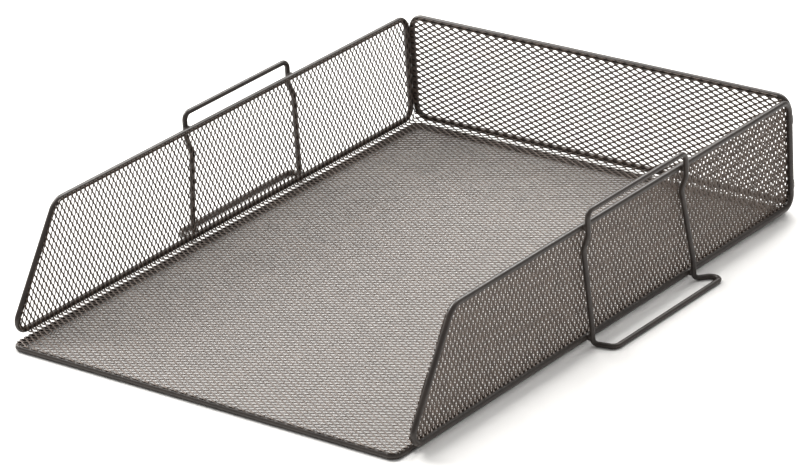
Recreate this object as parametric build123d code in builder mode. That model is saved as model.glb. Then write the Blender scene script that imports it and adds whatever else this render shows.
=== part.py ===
"""Stackable desk letter tray with an open front.

A basket folded from one sheet of expanded metal is held by four closed round-wire frames, and a
closed wire loop on each side lets trays of the same kind stack. All sizes are in millimetres.
X is the width, +Y runs to the back, +Z is up. The origin lies on the table under the middle of
the tray.
"""
from build123d import *
import math
import os

# ---- overall size ---------------------------------------------------------------------------
tray_width = 250.0          # over the two side frames
tray_depth = 340.0          # front of the base frame to back of the back frame
rim_height = 65.0           # table to the top of the side and back rims

# ---- frame wire -----------------------------------------------------------------------------
wire_d = 3.2                # round wire of the four frames
wire_r = wire_d / 2
corner_r = 7.0              # centre-line bend at the square corners of the side and back frames
base_corner_r = 4.0         # centre-line bend at the corners of the base frame
obtuse_corner_r = 10.0      # centre-line bend at the top front of a side frame
acute_corner_r = 5.5        # centre-line bend at the bottom front of a side frame
base_inset = 4.9            # base frame lies this far inside the side and back frames
back_frame_inset = 2.0      # back frame is this much narrower at each end than the side frames

# ---- planes and lines that the frame centre lines follow --------------------------------------
side_x = tray_width / 2 - wire_r
base_x = side_x - base_inset
front_y = -(tray_depth / 2 - wire_r)
back_y = tray_depth / 2 - wire_r
rim_z = rim_height - wire_r
base_z = wire_r
lower_rail_z = 4.8          # bottom wire of the side and back frames
weld_gap = 0.1              # clear distance that a weld bridges between two wires
# the upright wires of a side frame and of the back frame lie against each other
side_back_y = back_y - math.sqrt((wire_d + weld_gap) ** 2 - back_frame_inset**2)
side_front_low_y = front_y + 3.6     # where the sloping front wire would meet the bottom wire
side_front_top_y = front_y + 43.8    # where the sloping front wire would meet the rim

# ---- mesh sheet -----------------------------------------------------------------------------
sheet_t = 0.5               # thickness of the expanded sheet
mesh_trim = 0.8             # sheet is cut this far beyond the wire centre lines
wall_x = side_x - wire_r    # outer face of the side walls, against the side frames
wall_y = back_y - wire_r    # outer face of the back wall, against the back frame
floor_z = wire_d            # underside of the floor, on top of the base frame
fold_r = 1.2                # outer radius where the walls fold up from the floor
fold_x = wall_x - fold_r
fold_y = wall_y - fold_r
fold_z = floor_z + fold_r
wall_fold_front_y = front_y + 13.4   # in front of this the walls are cut free from the floor
strip_x = base_x + mesh_trim         # half the width of that free front strip

# ---- stacking loops -------------------------------------------------------------------------
loop_d = 2.8                # wire of the stacking loops
loop_r = loop_d / 2
hoop_top = 73.0             # table to the top of the hoop
hoop_z = hoop_top - loop_r
hoop_x = side_x + wire_r + weld_gap + loop_r    # hoop passes close outside the rim
leg_x = wall_x + loop_r              # leg rests against the mesh just under the rim
jog_top_z = rim_z - 4.4
jog_low_z = rim_z - 12.4
kick_z = 11.0               # below this the leg stands upright again, outside the bottom wire
foot_z = loop_r
foot_x = side_x + 15.2      # outer bar of the foot
loop_front_y = -19.0
loop_rear_y = 66.0          # rear leg at the rim
loop_rear_low_y = 70.0      # the rear leg leans back to here
foot_front_y = -16.5
foot_rear_y = 78.0
foot_shoulder = 5.5         # the rear leg swings back this far out from the wall
hoop_bend_r = 4.0
jog_bend_r = 6.0
kick_bend_r = 12.0
foot_root_bend_r = 2.8
foot_shoulder_bend_r = 4.0
foot_bend_r = 3.6

# ---- welds ----------------------------------------------------------------------------------
spot_weld_r = 2.0           # bead where a loop leg crosses a frame wire
seam_weld_r = 1.0           # bead in the groove between two upright wires
seam_weld_end_r = 0.5       # rounding of the bead's ends
seam_weld_length = 7.0
seam_weld_heights = (16.0, 52.0)
seam_weld_out = 1.1         # the bead's centre lies this far out from the line between the wires


def bent_wire(centre_line, diameter):
    """Round wire bent along a closed centre line, one straight or bend after another."""
    with BuildPart() as bar:
        for piece in centre_line.edges():
            with BuildSketch(Plane(origin=piece @ 0, z_dir=piece % 0)):
                Circle(diameter / 2)
            sweep(path=piece)
    return bar.part


def side_outline():
    """Corners and bend radii of a side frame as (y, z), from the bottom front upwards."""
    corners = [
        (side_front_low_y, lower_rail_z),
        (side_front_top_y, rim_z),
        (side_back_y, rim_z),
        (side_back_y, lower_rail_z),
    ]
    radii = [acute_corner_r, obtuse_corner_r, corner_r, corner_r]
    return corners, radii


def side_frame(x):
    """Closed frame of one side wall: level rim, sloping front, bottom wire and back upright."""
    corners, radii = side_outline()
    with BuildLine() as centre:
        FilletPolyline([(x, y, z) for y, z in corners], radius=radii, close=True)
    return bent_wire(centre.wire(), wire_d)


def loop_points(side):
    """Corners and bend radii of a stacking loop; side is -1 for left and 1 for right."""
    corners = [
        (hoop_x, loop_front_y, hoop_z, hoop_bend_r),
        (hoop_x, loop_rear_y, hoop_z, hoop_bend_r),
        (hoop_x, loop_rear_y, jog_top_z, jog_bend_r),
        (leg_x, loop_rear_y, jog_low_z, jog_bend_r),
        (hoop_x, loop_rear_low_y, kick_z, kick_bend_r),
        (hoop_x, loop_rear_low_y, foot_z, foot_root_bend_r),
        (hoop_x + foot_shoulder, foot_rear_y - 1, foot_z, foot_shoulder_bend_r),
        (foot_x, foot_rear_y, foot_z, foot_bend_r),
        (foot_x, foot_front_y, foot_z, foot_bend_r),
        (hoop_x, loop_front_y, foot_z, foot_root_bend_r),
        (hoop_x, loop_front_y, kick_z, kick_bend_r),
        (leg_x, loop_front_y, jog_low_z, jog_bend_r),
        (hoop_x, loop_front_y, jog_top_z, jog_bend_r),
    ]
    points = [(side * x, y, z) for x, y, z, _ in corners]
    radii = [radius for _, _, _, radius in corners]
    return points, radii


def stacking_loop(side):
    """Hoop above the rim, two legs down the wall and a flat foot, in one closed wire."""
    points, radii = loop_points(side)
    with BuildLine() as centre:
        FilletPolyline(points, radius=radii, close=True)
    return bent_wire(centre.wire(), loop_d)


# ---- basket: floor, two side walls and back wall folded from one sheet --------------------------
with BuildPart() as mesh_basket:
    with BuildSketch(Plane.XY.offset(floor_z)):
        with Locations((0, (wall_fold_front_y + fold_y) / 2)):
            Rectangle(2 * fold_x, fold_y - wall_fold_front_y)
    extrude(amount=sheet_t)

    # front strip of the floor, cut to the line of the base frame under it and clear of the side walls
    with BuildSketch(Plane.XY.offset(floor_z)) as front_strip:
        with Locations((0, wall_fold_front_y)):
            Rectangle(
                2 * strip_x,
                wall_fold_front_y - front_y + mesh_trim,
                align=(Align.CENTER, Align.MAX),
            )
        fillet(front_strip.vertices().group_by(Axis.Y)[0], base_corner_r + mesh_trim)
    extrude(amount=sheet_t)

    # side walls: the shape of the side frame, carried down to the fold and back to the back wall
    outline, outline_radii = side_outline()
    for wall_inner_side in (-wall_x, wall_x - sheet_t):
        with BuildSketch(Plane.YZ.offset(wall_inner_side)):
            with BuildLine():
                FilletPolyline(outline, radius=outline_radii, close=True)
            make_face()
            offset(amount=mesh_trim)
            with Locations((wall_y, fold_z)):
                Rectangle(
                    wall_y - wall_fold_front_y,
                    corner_r,
                    align=(Align.MAX, Align.MIN),
                )
        extrude(amount=sheet_t)

    # back wall with rounded top corners
    with BuildSketch(Plane.XZ.offset(-wall_y)) as back_wall:
        with Locations((0, fold_z)):
            Rectangle(2 * wall_x, rim_z + mesh_trim - fold_z, align=(Align.CENTER, Align.MIN))
        fillet(back_wall.vertices().group_by(Axis.Z)[-1], corner_r)
    extrude(amount=sheet_t)

    # folds along both sides
    for side, align_x in ((-1, Align.MAX), (1, Align.MIN)):
        with BuildSketch(Plane.XZ.offset(-wall_y)):
            with Locations((side * fold_x, fold_z)):
                Circle(fold_r)
                Circle(fold_r - sheet_t, mode=Mode.SUBTRACT)
                Rectangle(fold_r, fold_r, align=(align_x, Align.MAX), mode=Mode.INTERSECT)
        extrude(amount=wall_y - wall_fold_front_y)

    # fold along the back
    with BuildSketch(Plane.YZ.offset(-fold_x)):
        with Locations((fold_y, fold_z)):
            Circle(fold_r)
            Circle(fold_r - sheet_t, mode=Mode.SUBTRACT)
            Rectangle(fold_r, fold_r, align=(Align.MIN, Align.MAX), mode=Mode.INTERSECT)
    extrude(amount=2 * fold_x)

# ---- base frame: the rounded rectangle that stands on the table ---------------------------------
with BuildLine(Plane.XY.offset(base_z)) as base_line:
    base_back_y = back_y - base_inset
    FilletPolyline(
        (-base_x, front_y),
        (base_x, front_y),
        (base_x, base_back_y),
        (-base_x, base_back_y),
        radius=base_corner_r,
        close=True,
    )
with BuildPart() as base_frame:
    add(bent_wire(base_line.wire(), wire_d))

# ---- frames of the three walls ------------------------------------------------------------------
with BuildPart() as left_frame:
    add(side_frame(-side_x))

with BuildPart() as right_frame:
    add(side_frame(side_x))

with BuildLine(Plane.XZ.offset(-back_y)) as back_line:
    back_x = side_x - back_frame_inset
    FilletPolyline(
        (-back_x, lower_rail_z),
        (back_x, lower_rail_z),
        (back_x, rim_z),
        (-back_x, rim_z),
        radius=corner_r,
        close=True,
    )
with BuildPart() as back_frame:
    add(bent_wire(back_line.wire(), wire_d))

# ---- stacking loops -----------------------------------------------------------------------------
with BuildPart() as left_stacking_loop:
    add(stacking_loop(-1))

with BuildPart() as right_stacking_loop:
    add(stacking_loop(1))

# ---- welds: loops to the rims and bottom wires --------------------------------------------------
spot_weld_spots = [
    (loop_front_y, rim_z),
    (loop_rear_y, rim_z),
    (loop_front_y, lower_rail_z),
    (loop_rear_low_y, lower_rail_z),
]
spot_weld_x = side_x + wire_r + weld_gap / 2
with BuildPart() as loop_welds:
    for side in (-1, 1):
        for weld_y, weld_z in spot_weld_spots:
            with Locations((side * spot_weld_x, weld_y, weld_z)):
                Sphere(spot_weld_r, rotation=(0, 90, 0))
            # room for the upright leg
            with Locations((side * hoop_x, weld_y, weld_z)):
                Cylinder(loop_r, 3 * spot_weld_r, mode=Mode.SUBTRACT)
            # room for the level frame wire
            with Locations((side * side_x, weld_y, weld_z)):
                Cylinder(wire_r, 3 * spot_weld_r, rotation=(90, 0, 0), mode=Mode.SUBTRACT)

# ---- welds: back uprights of the side frames to the uprights of the back frame -------------------
# each bead lies in the outer groove between the two uprights, away from the mesh
groove_x = (side_x + back_x) / 2
groove_y = (back_y + side_back_y) / 2
groove_angle = math.atan2(back_y - side_back_y, back_frame_inset)
bead_x = groove_x + seam_weld_out * math.sin(groove_angle)
bead_y = groove_y + seam_weld_out * math.cos(groove_angle)
with BuildPart() as corner_welds:
    for side in (-1, 1):
        for weld_z in seam_weld_heights:
            with Locations((side * bead_x, bead_y, weld_z)):
                Cylinder(seam_weld_r, seam_weld_length)
    fillet(corner_welds.edges().filter_by(GeomType.CIRCLE), seam_weld_end_r)
    for side in (-1, 1):
        # room for the uprights of the side frame and of the back frame
        with Locations((side * side_x, side_back_y, rim_z / 2)):
            Cylinder(wire_r, rim_z, mode=Mode.SUBTRACT)
        with Locations((side * back_x, back_y, rim_z / 2)):
            Cylinder(wire_r, rim_z, mode=Mode.SUBTRACT)

# ---- one STEP file per sub-part -----------------------------------------------------------------
sub_parts = {
    "mesh_basket": mesh_basket,
    "base_frame": base_frame,
    "left_frame": left_frame,
    "right_frame": right_frame,
    "back_frame": back_frame,
    "left_stacking_loop": left_stacking_loop,
    "right_stacking_loop": right_stacking_loop,
    "loop_welds": loop_welds,
    "corner_welds": corner_welds,
}
os.makedirs("parts", exist_ok=True)
for name, sub_part in sub_parts.items():
    sub_part.part.label = name
    export_step(sub_part.part, f"parts/{name}.step")
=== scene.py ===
"""Looks of the desk letter tray: wire frames, expanded-metal basket, welds, light and camera.

Lengths are in metres. X is the width, +Y runs to the back and +Z is up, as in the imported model.
"""
import math

import bmesh
import bpy
import numpy as np
from mathutils import Matrix, Vector, noise


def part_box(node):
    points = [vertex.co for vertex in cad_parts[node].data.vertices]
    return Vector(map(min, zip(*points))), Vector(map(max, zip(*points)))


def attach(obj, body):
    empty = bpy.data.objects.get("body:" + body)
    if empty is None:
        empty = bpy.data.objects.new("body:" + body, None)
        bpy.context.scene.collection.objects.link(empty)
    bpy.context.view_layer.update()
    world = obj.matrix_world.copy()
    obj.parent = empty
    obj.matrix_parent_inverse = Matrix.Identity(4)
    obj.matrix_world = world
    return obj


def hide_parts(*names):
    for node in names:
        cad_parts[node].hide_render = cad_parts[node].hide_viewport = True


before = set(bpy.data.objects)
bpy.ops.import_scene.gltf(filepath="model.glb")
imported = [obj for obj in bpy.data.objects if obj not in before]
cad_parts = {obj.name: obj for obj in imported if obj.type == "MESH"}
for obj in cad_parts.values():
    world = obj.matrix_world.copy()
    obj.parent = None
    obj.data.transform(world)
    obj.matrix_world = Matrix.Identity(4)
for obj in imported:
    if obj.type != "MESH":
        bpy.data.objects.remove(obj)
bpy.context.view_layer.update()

mm = 0.001
body = "root"

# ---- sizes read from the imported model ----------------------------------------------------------
base_low, base_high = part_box("base_frame")
side_low, side_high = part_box("right_frame")
back_low, back_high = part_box("back_frame")
loop_low, loop_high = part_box("right_stacking_loop")
basket_low, basket_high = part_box("mesh_basket")

wire_r = (side_high.x - side_low.x) / 2
side_x = side_high.x - wire_r
rim_z = side_high.z - wire_r
lower_rail_z = side_low.z + wire_r
side_back_y = side_high.y - wire_r
base_x = base_high.x - wire_r
base_z = base_low.z + wire_r
front_y = base_low.y + wire_r
base_back_y = base_high.y - wire_r
back_x = back_high.x - wire_r
back_y = back_high.y - wire_r
wall_x = basket_high.x
wall_y = basket_high.y
floor_z = basket_low.z

# ---- bends of the frames, as the real wires are bent ----------------------------------------------
corner_r = 7.0 * mm
base_corner_r = 4.0 * mm
obtuse_corner_r = 10.0 * mm
acute_corner_r = 5.5 * mm
side_front_low_y = front_y + 3.6 * mm
side_front_top_y = front_y + 43.8 * mm

# ---- stacking loops -----------------------------------------------------------------------------
loop_r = 1.4 * mm
hoop_z = loop_high.z - loop_r
foot_z = loop_low.z + loop_r
foot_x = loop_high.x - loop_r
leg_x = loop_low.x + loop_r
hoop_x = side_x + 3.1 * mm
jog_top_z = rim_z - 4.4 * mm
jog_low_z = rim_z - 12.4 * mm
kick_z = 11.0 * mm
loop_front_y = -19.0 * mm
loop_rear_y = 66.0 * mm
loop_rear_low_y = 70.0 * mm
foot_front_y = loop_low.y + loop_r + 2.5 * mm
foot_rear_y = loop_high.y - loop_r
foot_shoulder = 5.5 * mm
foot_shoulder_back = 1.0 * mm    # the shoulder lies this far in front of the foot's rear end
hoop_bend_r = 4.0 * mm
jog_bend_r = 6.0 * mm
kick_bend_r = 12.0 * mm
foot_root_bend_r = 2.8 * mm
foot_shoulder_bend_r = 4.0 * mm
foot_bend_r = 3.6 * mm

# ---- expanded metal -------------------------------------------------------------------------------
long_way = 6.0 * mm         # from one opening to the next along its long diagonal
short_way = 3.3 * mm        # from one opening to the next along its short diagonal
hole_long = 4.1 * mm
hole_short = 1.82 * mm
fold_hole_short = 1.0 * mm  # the bend presses the openings of the side folds half shut
hole_roundness = 1.3        # 1 is a sharp diamond, 2 an ellipse
ring_points = 12
strand_t = 0.55 * mm        # thickness at the middle of a strand, with its coat
strand_edge_t = 0.22 * mm
strand_tilt = 0.14 * mm     # one edge of each strand stands this much higher than its middle
mesh_trim = 0.8 * mm        # the sheet ends this far beyond the centre of the wires
sheet_t = 0.5 * mm
fold_r = 1.2 * mm
fold_x = wall_x - fold_r
fold_y = wall_y - fold_r
fold_z = floor_z + fold_r
fold_mid_r = fold_r - sheet_t / 2
fold_length = fold_mid_r * math.pi / 2
wall_fold_front_y = front_y + 13.4 * mm
floor_bands = 4             # the floor is made as this many pieces, one behind the other
join_grid = 0.01 * mm       # points of neighbouring openings closer than this become one
cut_tolerance = 0.001 * mm

# ---- wire and weld detail -----------------------------------------------------------------------
wire_sides = 28
arc_step = math.radians(6)
spot_weld_r = 2.0 * mm
seam_weld_r = 1.0 * mm
seam_weld_half_length = 3.5 * mm
seam_weld_heights = (16.0 * mm, 52.0 * mm)
seam_weld_out = 1.1 * mm    # the bead's centre lies this far out from the line between the wires
bead_unevenness = 0.10      # share of the bead's size that its lumps add or take away
bead_lump_scale = 2.2
bead_subdivisions = 4


def rounded(corners, radii):
    """Points round a closed line through corners, each corner turned on an arc of its radius."""
    points = []
    for i, corner in enumerate(corners):
        corner = Vector(corner)
        before = (Vector(corners[i - 1]) - corner).normalized()
        after = (Vector(corners[(i + 1) % len(corners)]) - corner).normalized()
        if radii[i] == 0:
            points.append(corner)
            continue
        half_turn = (math.pi - before.angle(after)) / 2
        reach = radii[i] * math.tan(half_turn)
        middle = corner + (before + after).normalized() * (radii[i] / math.cos(half_turn))
        start = corner + before * reach - middle
        end = corner + after * reach - middle
        steps = max(2, math.ceil(2 * half_turn / arc_step))
        for k in range(steps + 1):
            points.append(middle + start.slerp(end, k / steps).normalized() * radii[i])
    return points


def shade_smooth(metal):
    for face in metal.faces:
        face.smooth = True


def new_piece(name, metal, material, slot_name, *nodes):
    """Turns a bmesh into a named piece that rides on the tray and stands for the given CAD nodes."""
    data = bpy.data.meshes.new(name)
    metal.to_mesh(data)
    metal.free()
    data.materials.append(material)
    piece = bpy.data.objects.new(name, data)
    bpy.context.scene.collection.objects.link(piece)
    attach(piece, body)
    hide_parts(*nodes)
    return piece


# ---- wires --------------------------------------------------------------------------------------


def wire_mesh(points, radius):
    """Round wire along a closed line, as a bmesh."""
    count = len(points)
    tangents = []
    for i in range(count):
        ahead = (points[(i + 1) % count] - points[i]).normalized()
        behind = (points[i] - points[i - 1]).normalized()
        tangents.append((ahead + behind).normalized())
    side_way = tangents[0].orthogonal().normalized()
    side_ways = [side_way]
    for i in range(1, count + 1):
        turn = tangents[i - 1].rotation_difference(tangents[i % count])
        side_ways.append(turn @ side_ways[-1])
    # the frame comes back turned by this much, which is shared out over the whole line
    closing = side_ways[-1].angle(side_ways[0])
    if side_ways[-1].cross(side_ways[0]).dot(tangents[0]) < 0:
        closing = -closing
    metal = bmesh.new()
    rings = []
    for i in range(count):
        across = Matrix.Rotation(closing * i / count, 3, tangents[i]) @ side_ways[i]
        upward = tangents[i].cross(across)
        ring = []
        for k in range(wire_sides):
            angle = 2 * math.pi * k / wire_sides
            offset = across * math.cos(angle) + upward * math.sin(angle)
            ring.append(metal.verts.new(points[i] + offset * radius))
        rings.append(ring)
    for i in range(count):
        ring, following = rings[i], rings[(i + 1) % count]
        for k in range(wire_sides):
            j = (k + 1) % wire_sides
            metal.faces.new((ring[k], following[k], following[j], ring[j]))
    bmesh.ops.recalc_face_normals(metal, faces=metal.faces)
    shade_smooth(metal)
    return metal


def side_corners():
    """Corners and bend radii of a side frame's centre line as (y, z), from the bottom front upwards."""
    corners = [
        (side_front_low_y, lower_rail_z),
        (side_front_top_y, rim_z),
        (side_back_y, rim_z),
        (side_back_y, lower_rail_z),
    ]
    radii = [acute_corner_r, obtuse_corner_r, corner_r, corner_r]
    return corners, radii


def side_frame_line(x):
    corners, radii = side_corners()
    return rounded([(x, y, z) for y, z in corners], radii)


def base_frame_line():
    corners = [
        (-base_x, front_y, base_z),
        (base_x, front_y, base_z),
        (base_x, base_back_y, base_z),
        (-base_x, base_back_y, base_z),
    ]
    return rounded(corners, [base_corner_r] * 4)


def back_frame_line():
    corners = [
        (-back_x, back_y, lower_rail_z),
        (back_x, back_y, lower_rail_z),
        (back_x, back_y, rim_z),
        (-back_x, back_y, rim_z),
    ]
    return rounded(corners, [corner_r] * 4)


def loop_line(side):
    """Centre line of a stacking loop; side is -1 for left and 1 for right."""
    corners = [
        (hoop_x, loop_front_y, hoop_z, hoop_bend_r),
        (hoop_x, loop_rear_y, hoop_z, hoop_bend_r),
        (hoop_x, loop_rear_y, jog_top_z, jog_bend_r),
        (leg_x, loop_rear_y, jog_low_z, jog_bend_r),
        (hoop_x, loop_rear_low_y, kick_z, kick_bend_r),
        (hoop_x, loop_rear_low_y, foot_z, foot_root_bend_r),
        (hoop_x + foot_shoulder, foot_rear_y - foot_shoulder_back, foot_z, foot_shoulder_bend_r),
        (foot_x, foot_rear_y, foot_z, foot_bend_r),
        (foot_x, foot_front_y, foot_z, foot_bend_r),
        (hoop_x, loop_front_y, foot_z, foot_root_bend_r),
        (hoop_x, loop_front_y, kick_z, kick_bend_r),
        (leg_x, loop_front_y, jog_low_z, jog_bend_r),
        (hoop_x, loop_front_y, jog_top_z, jog_bend_r),
    ]
    points = [(side * x, y, z) for x, y, z, _ in corners]
    radii = [radius for _, _, _, radius in corners]
    return rounded(points, radii)


# ---- expanded metal -------------------------------------------------------------------------------


def diamond(half_u, half_v, roundness):
    """Ring of points (n, 2) round a diamond with softened corners."""
    angle = np.arange(ring_points) * 2 * np.pi / ring_points
    cosine, sine = np.cos(angle), np.sin(angle)
    u = np.sign(cosine) * np.abs(cosine) ** (2 / roundness) * half_u
    v = np.sign(sine) * np.abs(sine) ** (2 / roundness) * half_v
    return np.stack([u, v], axis=1)


def metal_round_an_opening(opening_width):
    """Four rings (4n, 3) from the top of the strands over the opening's edge to their underside."""
    strand_line = diamond(long_way / 2, short_way / 2, 1.0)
    edge = diamond(hole_long / 2, opening_width / 2, hole_roundness)
    level = np.zeros(ring_points)
    tilt = strand_tilt * edge[:, 1] / (opening_width / 2)
    rings = [
        (strand_line, level + strand_t / 2),
        (edge, tilt + strand_edge_t / 2),
        (edge, tilt - strand_edge_t / 2),
        (strand_line, level - strand_t / 2),
    ]
    return np.concatenate([np.column_stack([ring, height]) for ring, height in rings])


def flat_metal(low_u, high_u, low_v, high_v, opening_width):
    """Flat expanded metal that covers a range of the sheet, as a bmesh with its strands joined."""
    column = long_way / 2
    row = short_way / 2
    first_column, last_column = math.floor(low_u / column) - 1, math.ceil(high_u / column) + 1
    first_row, last_row = math.floor(low_v / row) - 1, math.ceil(high_v / row) + 1
    centres = [
        (i * column, j * row, 0.0)
        for j in range(first_row, last_row + 1)
        for i in range(first_column, last_column + 1)
        if (i + j) % 2 == 0
    ]
    ring = metal_round_an_opening(opening_width)
    points = (np.array(centres)[:, None, :] + ring[None, :, :]).reshape(-1, 3)

    around = np.arange(ring_points)
    following = (around + 1) % ring_points
    faces_of_one = []
    for level in range(3):
        upper, lower = level * ring_points, (level + 1) * ring_points
        quads = [upper + around, upper + following, lower + following, lower + around]
        faces_of_one.append(np.stack(quads, axis=1))
    faces_of_one = np.concatenate(faces_of_one)
    starts = np.arange(len(centres)) * len(ring)
    faces = (starts[:, None, None] + faces_of_one[None, :, :]).reshape(-1, 4)

    # points that two openings share become one
    grid = np.round(points / join_grid).astype(np.int64)
    _, kept, joined = np.unique(grid, axis=0, return_index=True, return_inverse=True)
    faces = joined.reshape(-1)[faces]

    data = bpy.data.meshes.new("flat_metal")
    data.from_pydata(points[kept], [], faces.tolist())
    metal = bmesh.new()
    metal.from_mesh(data)
    bpy.data.meshes.remove(data)
    return metal


def trim(metal, outline, beyond=0.0):
    """Cuts flat metal to a convex, counter-clockwise outline and closes the ends of its strands."""
    for start, end in zip(outline, outline[1:] + outline[:1]):
        along = Vector(end) - Vector(start)
        if along.length < join_grid:
            continue
        outward = Vector((along.y, -along.x, 0)).normalized()
        bmesh.ops.bisect_plane(
            metal,
            geom=metal.verts[:] + metal.edges[:] + metal.faces[:],
            dist=cut_tolerance,
            plane_co=Vector((start[0], start[1], 0)) + outward * beyond,
            plane_no=outward,
            clear_outer=True,
        )
    close_ends(metal)


def close_ends(metal):
    """Puts a face over each ring of open edges, where a strand was cut across."""
    open_edges = {edge for edge in metal.edges if len(edge.link_faces) == 1}
    while open_edges:
        edge = open_edges.pop()
        ring = list(edge.verts)
        edge.smooth = False
        while ring[-1] is not ring[0]:
            ahead = [e for e in ring[-1].link_edges if e in open_edges]
            if not ahead:
                break
            open_edges.remove(ahead[0])
            ahead[0].smooth = False
            ring.append(ahead[0].other_vert(ring[-1]))
        if ring[-1] is ring[0] and len(ring) > 3:
            metal.faces.new(ring[:-1])


def folded(across, offset, fold_start):
    """How far out and how high a point of the sheet lies once the sheet is folded up past fold_start."""
    beyond = np.maximum(across - fold_start, 0)
    angle = np.minimum(beyond / fold_mid_r, math.pi / 2)
    straight = np.maximum(beyond - fold_length, 0)
    out = np.minimum(across, fold_start) + (fold_mid_r - offset) * np.sin(angle)
    height = fold_z - (fold_mid_r - offset) * np.cos(angle) + straight
    return out, height


def at_height(z, fold_start):
    """Where a height of a wall lies on the flat sheet."""
    return fold_start + fold_length + z - fold_z


def place_points(metal, place):
    """Moves every point of flat metal (u, v, offset) to its place in the tray."""
    flat = np.array([vert.co for vert in metal.verts])
    for vert, co in zip(metal.verts, place(flat).tolist()):
        vert.co = co
    bmesh.ops.recalc_face_normals(metal, faces=metal.faces)
    shade_smooth(metal)


def place_floor(flat):
    u, v, offset = flat.T
    return np.column_stack([u, v, floor_z + sheet_t / 2 + offset])


def place_side(side):
    def place(flat):
        u, v, offset = flat.T
        out, height = folded(u, offset, fold_x)
        return np.column_stack([side * out, v, height])

    return place


def place_back(flat):
    u, v, offset = flat.T
    out, height = folded(v, offset, fold_y)
    return np.column_stack([u, out, height])


def sheet_piece(name, outline, beyond, place, material, opening_width=hole_short):
    """One trimmed and folded area of the basket's sheet, as a piece."""
    us = [point[0] for point in outline]
    vs = [point[1] for point in outline]
    low_u, high_u = min(us) - beyond, max(us) + beyond
    low_v, high_v = min(vs) - beyond, max(vs) + beyond
    metal = flat_metal(low_u, high_u, low_v, high_v, opening_width)
    trim(metal, outline, beyond)
    place_points(metal, place)
    return new_piece(name, metal, material, "mesh", "mesh_basket")


def rectangle(low_u, low_v, high_u, high_v):
    return [(low_u, low_v), (high_u, low_v), (high_u, high_v), (low_u, high_v)]


def make_basket(material):
    """Every area of the folded sheet: floor, front strip, folds, side walls and back wall."""
    strip = rectangle(-base_x, front_y, base_x, wall_fold_front_y - mesh_trim)
    strip = rounded(strip, [base_corner_r, base_corner_r, 0, 0])
    sheet_piece("mesh_floor_front", strip, mesh_trim, place_floor, material)

    band_depth = (fold_y - wall_fold_front_y) / floor_bands
    for i in range(floor_bands):
        low = wall_fold_front_y + i * band_depth
        outline = rectangle(-fold_x, low, fold_x, low + band_depth)
        sheet_piece(f"mesh_floor_{i + 1}", outline, 0.0, place_floor, material)

    corners, radii = side_corners()
    corners = [(at_height(z, fold_x), y) for y, z in corners]
    radii[-1] = 0
    wall = rounded(corners, radii)
    wall_bottom = at_height(lower_rail_z - mesh_trim, fold_x)
    fold = rectangle(fold_x, wall_fold_front_y, wall_bottom, fold_y)
    for side, side_name in ((-1, "left"), (1, "right")):
        sheet_piece(f"mesh_{side_name}_wall", wall, mesh_trim, place_side(side), material)
        fold_name = f"mesh_{side_name}_fold"
        sheet_piece(fold_name, fold, 0.0, place_side(side), material, fold_hole_short)

    back_half = wall_x - sheet_t - mesh_trim
    back = rectangle(-back_half, fold_y, back_half, at_height(rim_z, fold_y))
    back = rounded(back, [0, 0, corner_r, corner_r])
    sheet_piece("mesh_back_wall", back, mesh_trim, place_back, material)


# ---- welds --------------------------------------------------------------------------------------


def weld_bead(metal, place, size):
    """Adds a small uneven blob of weld metal, with its coat, to a bmesh."""
    made = bmesh.ops.create_icosphere(metal, subdivisions=bead_subdivisions, radius=1.0)
    seed = Vector(place) / (3 * mm)    # every bead gets lumps of its own
    for vert in made["verts"]:
        way = vert.co.normalized()
        lump = 1 + bead_unevenness * noise.noise(way * bead_lump_scale + seed)
        stretched = Vector((way.x * size[0], way.y * size[1], way.z * size[2]))
        vert.co = Vector(place) + stretched * lump


def make_loop_welds(material):
    """Beads where the legs of the loops cross the rims and the bottom wires."""
    spots = [
        (loop_front_y, rim_z),
        (loop_rear_y, rim_z),
        (loop_front_y, lower_rail_z),
        (loop_rear_low_y, lower_rail_z),
    ]
    metal = bmesh.new()
    for side in (-1, 1):
        for y, z in spots:
            place = (side * (side_x + wire_r), y, z)
            weld_bead(metal, place, (spot_weld_r, spot_weld_r, spot_weld_r))
    shade_smooth(metal)
    new_piece("loop_weld_beads", metal, material, "weld", "loop_welds")


def make_corner_welds(material):
    """Beads in the groove between the uprights of the side frames and of the back frame."""
    groove_x = (side_x + back_x) / 2
    groove_y = (back_y + side_back_y) / 2
    angle = math.atan2(back_y - side_back_y, side_x - back_x)
    metal = bmesh.new()
    for side in (-1, 1):
        for z in seam_weld_heights:
            x = side * (groove_x + seam_weld_out * math.sin(angle))
            y = groove_y + seam_weld_out * math.cos(angle)
            weld_bead(metal, (x, y, z), (seam_weld_r, seam_weld_r, seam_weld_half_length))
    shade_smooth(metal)
    new_piece("corner_weld_beads", metal, material, "weld", "corner_welds")


# ---- materials ----------------------------------------------------------------------------------
frame_dark, frame_light = (0.018, 0.012, 0.009), (0.030, 0.021, 0.016)
mesh_dark, mesh_light = (0.068, 0.048, 0.037), (0.104, 0.075, 0.058)
tone_scale, tone_detail = 140, 6      # patches of a few millimetres
gloss_scale, gloss_detail = 420, 3
grain_scale, grain_detail = 900, 4    # orange peel about a millimetre across


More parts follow.
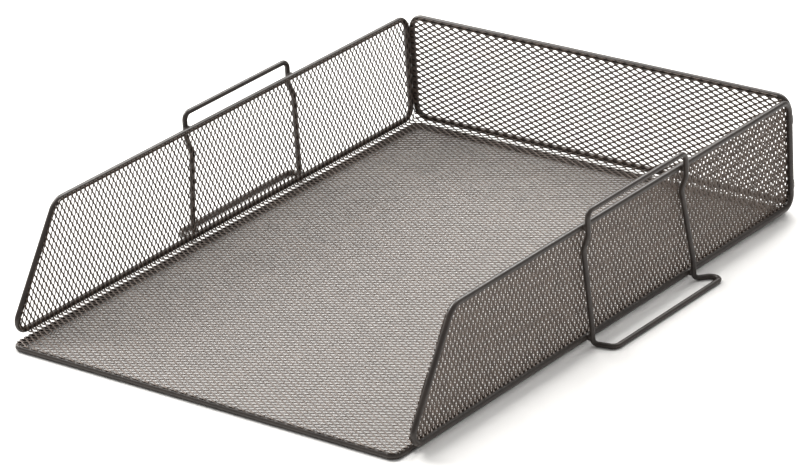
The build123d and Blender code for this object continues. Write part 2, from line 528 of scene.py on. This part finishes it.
def powder_coat(name, dark, light, smoothest, roughest, grain_height):
    """Dark powder coat: an uneven tone, a fine orange-peel skin and a semi-gloss that varies."""
    material = bpy.data.materials.new(name)
    material.use_nodes = True
    nodes = material.node_tree.nodes
    links = material.node_tree.links
    shader = nodes["Principled BSDF"]
    shader.inputs["IOR"].default_value = 1.5
    place = nodes.new("ShaderNodeTexCoord")

    def noise_map(scale, detail):
        texture = nodes.new("ShaderNodeTexNoise")
        texture.inputs["Scale"].default_value = scale
        texture.inputs["Detail"].default_value = detail
        links.new(place.outputs["Object"], texture.inputs["Vector"])
        return texture.outputs["Fac"]

    tone = nodes.new("ShaderNodeValToRGB")
    tone.color_ramp.elements[0].position = 0.35
    tone.color_ramp.elements[0].color = (*dark, 1)
    tone.color_ramp.elements[1].position = 0.65
    tone.color_ramp.elements[1].color = (*light, 1)
    links.new(noise_map(tone_scale, tone_detail), tone.inputs["Fac"])
    links.new(tone.outputs["Color"], shader.inputs["Base Color"])

    gloss = nodes.new("ShaderNodeMapRange")
    gloss.inputs["From Min"].default_value = 0.3
    gloss.inputs["From Max"].default_value = 0.7
    gloss.inputs["To Min"].default_value = smoothest
    gloss.inputs["To Max"].default_value = roughest
    links.new(noise_map(gloss_scale, gloss_detail), gloss.inputs["Value"])
    links.new(gloss.outputs["Result"], shader.inputs["Roughness"])

    bump = nodes.new("ShaderNodeBump")
    bump.inputs["Strength"].default_value = 1.0
    bump.inputs["Distance"].default_value = grain_height
    links.new(noise_map(grain_scale, grain_detail), bump.inputs["Height"])
    links.new(bump.outputs["Normal"], shader.inputs["Normal"])
    return material


def plain_floor():
    """Pale floor under the tray."""
    material = bpy.data.materials.new("pale_floor")
    material.use_nodes = True
    shader = material.node_tree.nodes["Principled BSDF"]
    shader.inputs["Base Color"].default_value = (0.86, 0.855, 0.845, 1)
    shader.inputs["Roughness"].default_value = 0.9
    shader.inputs["Specular IOR Level"].default_value = 0.1
    return material


# ---- stage, light and camera ----------------------------------------------------------------------
floor_half = 15.0
floor_drop = 0.05 * mm      # keeps the floor just clear of the wires that stand on it
aim = Vector((0, 0, 0.03))
softbox_size = 1.6

def make_stage():
    """Plain floor that carries on past every edge of the picture."""
    metal = bmesh.new()
    corners = rectangle(-floor_half, -floor_half, floor_half, floor_half)
    metal.faces.new([metal.verts.new((x, y, -floor_drop)) for x, y in corners])
    data = bpy.data.meshes.new("floor")
    metal.to_mesh(data)
    metal.free()
    data.materials.append(plain_floor())
    floor = bpy.data.objects.new("floor", data)
    bpy.context.scene.collection.objects.link(floor)


def softbox(name, place, power, colour):
    """Round soft light that faces the tray."""
    data = bpy.data.lights.new(name, "AREA")
    data.shape = "DISK"
    data.size = softbox_size
    data.energy = power
    data.color = colour
    lamp = bpy.data.objects.new(name, data)
    lamp.location = place
    lamp.rotation_mode = "QUATERNION"
    lamp.rotation_quaternion = (aim - Vector(place)).to_track_quat("-Z", "Y")
    bpy.context.scene.collection.objects.link(lamp)


def make_light():
    """Pale sky all round, with a soft light from the left and one from behind and above."""
    world = bpy.data.worlds.new("studio")
    world.use_nodes = True
    sky = world.node_tree.nodes["Background"]
    sky.inputs["Color"].default_value = (1.0, 0.995, 0.985, 1)
    sky.inputs["Strength"].default_value = 0.50
    bpy.context.scene.world = world
    softbox("left_softbox", (-1.8, 0.2, 1.5), 78, (1.0, 0.985, 0.96))
    softbox("back_softbox", (-0.4, 1.5, 2.0), 72, (1.0, 0.99, 0.975))
    bpy.context.scene.view_settings.view_transform = "Standard"


def make_camera():
    """Camera above the right front corner, with a long lens."""
    place = Vector((1.261, -1.591, 0.9126))
    azimuth = math.radians(39.2)
    elevation = math.radians(23.73)
    roll = math.radians(-3.698)
    forward = Vector(
        (
            -math.sin(azimuth) * math.cos(elevation),
            math.cos(azimuth) * math.cos(elevation),
            -math.sin(elevation),
        )
    )
    level = forward.cross(Vector((0, 0, 1))).normalized()
    upright = level.cross(forward)
    right = level * math.cos(roll) + upright * math.sin(roll)
    up = upright * math.cos(roll) - level * math.sin(roll)
    data = bpy.data.cameras.new("camera")
    data.sensor_width = 36.0
    data.lens = 197.06
    data.shift_x = 0.0605
    data.shift_y = 0.010
    data.clip_start = 0.1
    data.clip_end = 50.0
    camera = bpy.data.objects.new("camera", data)
    camera.matrix_world = Matrix.Translation(place) @ Matrix(
        (right, up, -forward)
    ).transposed().to_4x4()
    bpy.context.scene.collection.objects.link(camera)
    bpy.context.scene.camera = camera


# ---- the tray -------------------------------------------------------------------------------------
frame_coat = powder_coat("frame_powder_coat", frame_dark, frame_light, 0.36, 0.48, 0.03 * mm)
mesh_coat = powder_coat("mesh_powder_coat", mesh_dark, mesh_light, 0.42, 0.56, 0.02 * mm)
weld_coat = powder_coat("weld_powder_coat", frame_dark, frame_light, 0.42, 0.58, 0.06 * mm)

wires = [
    ("base_wire", base_frame_line(), wire_r, "frame_wire", "base_frame"),
    ("left_wire", side_frame_line(-side_x), wire_r, "frame_wire", "left_frame"),
    ("right_wire", side_frame_line(side_x), wire_r, "frame_wire", "right_frame"),
    ("back_wire", back_frame_line(), wire_r, "frame_wire", "back_frame"),
    ("left_loop_wire", loop_line(-1), loop_r, "loop_wire", "left_stacking_loop"),
    ("right_loop_wire", loop_line(1), loop_r, "loop_wire", "right_stacking_loop"),
]
for piece_name, line, radius, slot_name, node in wires:
    new_piece(piece_name, wire_mesh(line, radius), frame_coat, slot_name, node)

make_basket(mesh_coat)
make_loop_welds(weld_coat)
make_corner_welds(weld_coat)

make_stage()
make_light()
make_camera()
